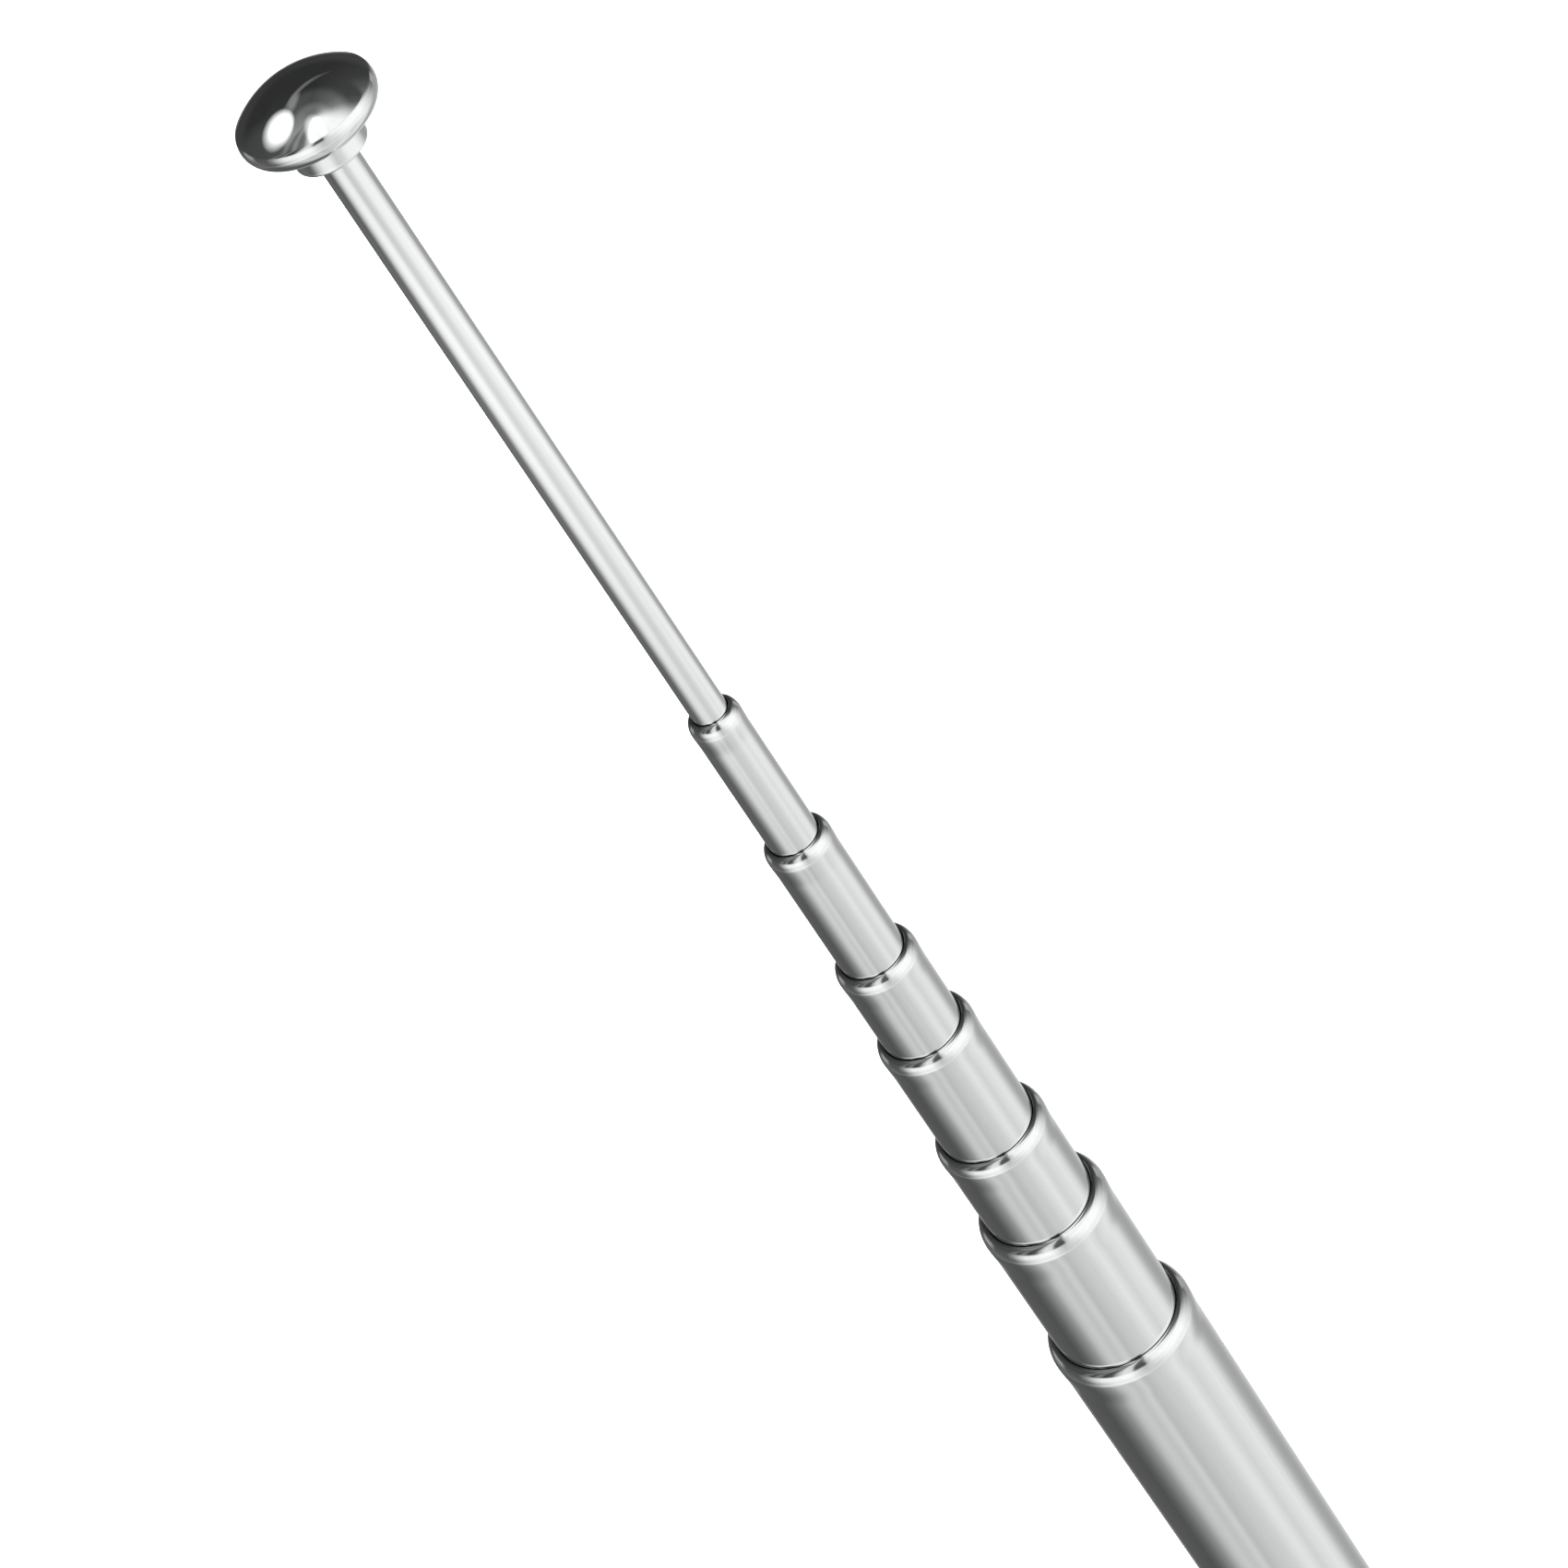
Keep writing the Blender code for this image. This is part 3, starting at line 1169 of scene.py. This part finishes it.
@dataclass
class Studio:
    """Floor, light and camera.

    Args:
        floor_size: Side of the floor, in metres.
        floor_roughness: Roughness of the floor.
        lamp_size: Diameter of the lamp overhead, in metres.
        lamp_height: Height of the lamp, in metres.
        lamp_power: Power of the lamp, in watts.
        lens: Focal length, in millimetres.
        sensor: Width of the sensor, in millimetres.
        nearest: Distance from which the camera sees, in metres.
        tilt: How far the camera looks down, in degrees.
        roll: Turn of the camera about its own axis, in degrees.
        mouth_height: Height of the mouth that the camera is placed by, in metres.
        mouth_seen: That mouth's place in the camera's own frame, in metres.
        cap_height: Height of the point that the soft boxes face, in metres.
    """

    floor_size: float = 6.0
    floor_roughness: float = 0.9
    lamp_size: float = 2.0
    lamp_height: float = 1.6
    lamp_power: float = 60.0
    lens: float = 105.9
    sensor: float = 36.0
    nearest: float = 0.01
    tilt: float = 40.25
    roll: float = 33.67
    mouth_height: float = 0.14214
    mouth_seen: tuple[float, float, float] = (0.02148, -0.03446, -0.30305)
    cap_height: float = 0.2505

    def build_floor(self) -> None:
        """A plain pale floor that the chrome doesn't mirror."""
        pale, nodes = new_material("floor_pale")
        surface = nodes.add(
            "ShaderNodeBsdfPrincipled",
            inputs={"Base Color": (*PALE, 1.0), "Roughness": self.floor_roughness},
        )
        nodes.add("ShaderNodeOutputMaterial", inputs={"Surface": surface})
        floor = flat_square("floor", self.floor_size / 2, pale)
        floor.visible_glossy = False

    def build_camera(self) -> None:
        """A long lens above the tip, rolled so that the antenna runs to the upper left."""
        data = bpy.data.cameras.new("camera")
        data.lens = self.lens
        data.sensor_width = self.sensor
        data.clip_start = self.nearest
        camera = new_object("camera", data)
        level = Euler((math.radians(90 - self.tilt), 0.0, 0.0)).to_matrix()
        turned = level @ Matrix.Rotation(math.radians(-self.roll), 3, "Z")
        camera.location = Vector((0.0, 0.0, self.mouth_height)) - turned @ Vector(self.mouth_seen)
        camera.rotation_euler = turned.to_euler()
        bpy.context.scene.camera = camera

    def surround(self, nodes: Nodes) -> Wire:
        """Brightness of the surround in each direction.

        Args:
            nodes: The world's builder.

        Returns:
            The brightness.
        """
        direction = nodes.add("ShaderNodeTexCoord", output="Generated")
        x, y, z = nodes.split(direction)
        turn = x.maths("ARCTAN2", y * -1.0) * (0.5 / math.pi) + 0.5
        height = z.maths("ARCSINE") * (180.0 / math.pi)
        level = None
        for ring in RINGS:
            shown = nodes.add("ShaderNodeValToRGB", {"stops": ring.stops()}, (turn,))
            if level is None:
                level = shown
                continue
            share = nodes.add(
                "ShaderNodeMapRange",
                {"interpolation_type": "SMOOTHSTEP"},
                {"Value": height, "From Min": ring.starts, "From Max": ring.holds},
            )
            level = level + share * (shown - level)
        for panel in PANELS:
            across, up, middle = panel.frame()
            product = {"operation": "DOT_PRODUCT"}
            ahead, aside, above = (
                nodes.add("ShaderNodeVectorMath", product, (direction, tuple(way)), "Value")
                for way in (middle, across, up)
            )
            # What points away from the card falls far outside its oval
            depth = ahead.maths("MAXIMUM", LEAST_AHEAD)
            wide = aside / depth * (1.0 / math.tan(math.radians(panel.width)))
            tall = above / depth * (1.0 / math.tan(math.radians(panel.height)))
            inside = 1.0 + panel.softness / 2 - oval_reach(wide, tall)
            level = level + (inside / panel.softness).clamped() * (panel.brightness - level)
        return level

    def build_light(self) -> None:
        """White light for all but mirrored rays, which see the surround instead."""
        world = bpy.data.worlds.new("studio")
        bpy.context.scene.world = world
        world.use_nodes = True
        nodes = Nodes(world.node_tree)
        mirrored, plain = (
            nodes.add("ShaderNodeBackground", inputs={"Color": colour, "Strength": 1.0})
            for colour in (self.surround(nodes), (*WHITE, 1.0))
        )
        seen = nodes.add("ShaderNodeLightPath", output="Is Glossy Ray")
        mixed = nodes.add("ShaderNodeMixShader", inputs=(seen, plain, mirrored))
        nodes.add("ShaderNodeOutputWorld", inputs={"Surface": mixed})
        lamp = bpy.data.lights.new("ceiling", "AREA")
        lamp.shape = "DISK"
        lamp.size = self.lamp_size
        lamp.energy = self.lamp_power
        ceiling = new_object("ceiling", lamp)
        ceiling.location = (0.0, 0.0, self.lamp_height)
        ceiling.visible_glossy = False

    def build(self) -> None:
        """Builds the whole studio."""
        self.build_floor()
        self.build_light()
        mirrors = bpy.data.collections.new("soft_box_mirrors")
        mirrors.objects.link(bpy.data.objects["tip_cap_turned"])
        for box in SOFT_BOXES:
            box.build(self.cap_height, mirrors)
        self.build_camera()
        bpy.context.scene.view_settings.view_transform = "Standard"


def main() -> None:
    """Builds the antenna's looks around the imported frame."""
    logging.basicConfig(level=logging.INFO, format="%(name)s: %(message)s")
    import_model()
    lengths = Lengths()
    lengths.build(CHROME_DRAWN.material())
    SpringLeaves(lengths).build(BRONZE_STRIP.material())
    Plug().build(BRASS_TURNED.material())
    TipCap().build(CHROME_TURNED.material())
    Studio().build()


if __name__ == "__main__":
    main()
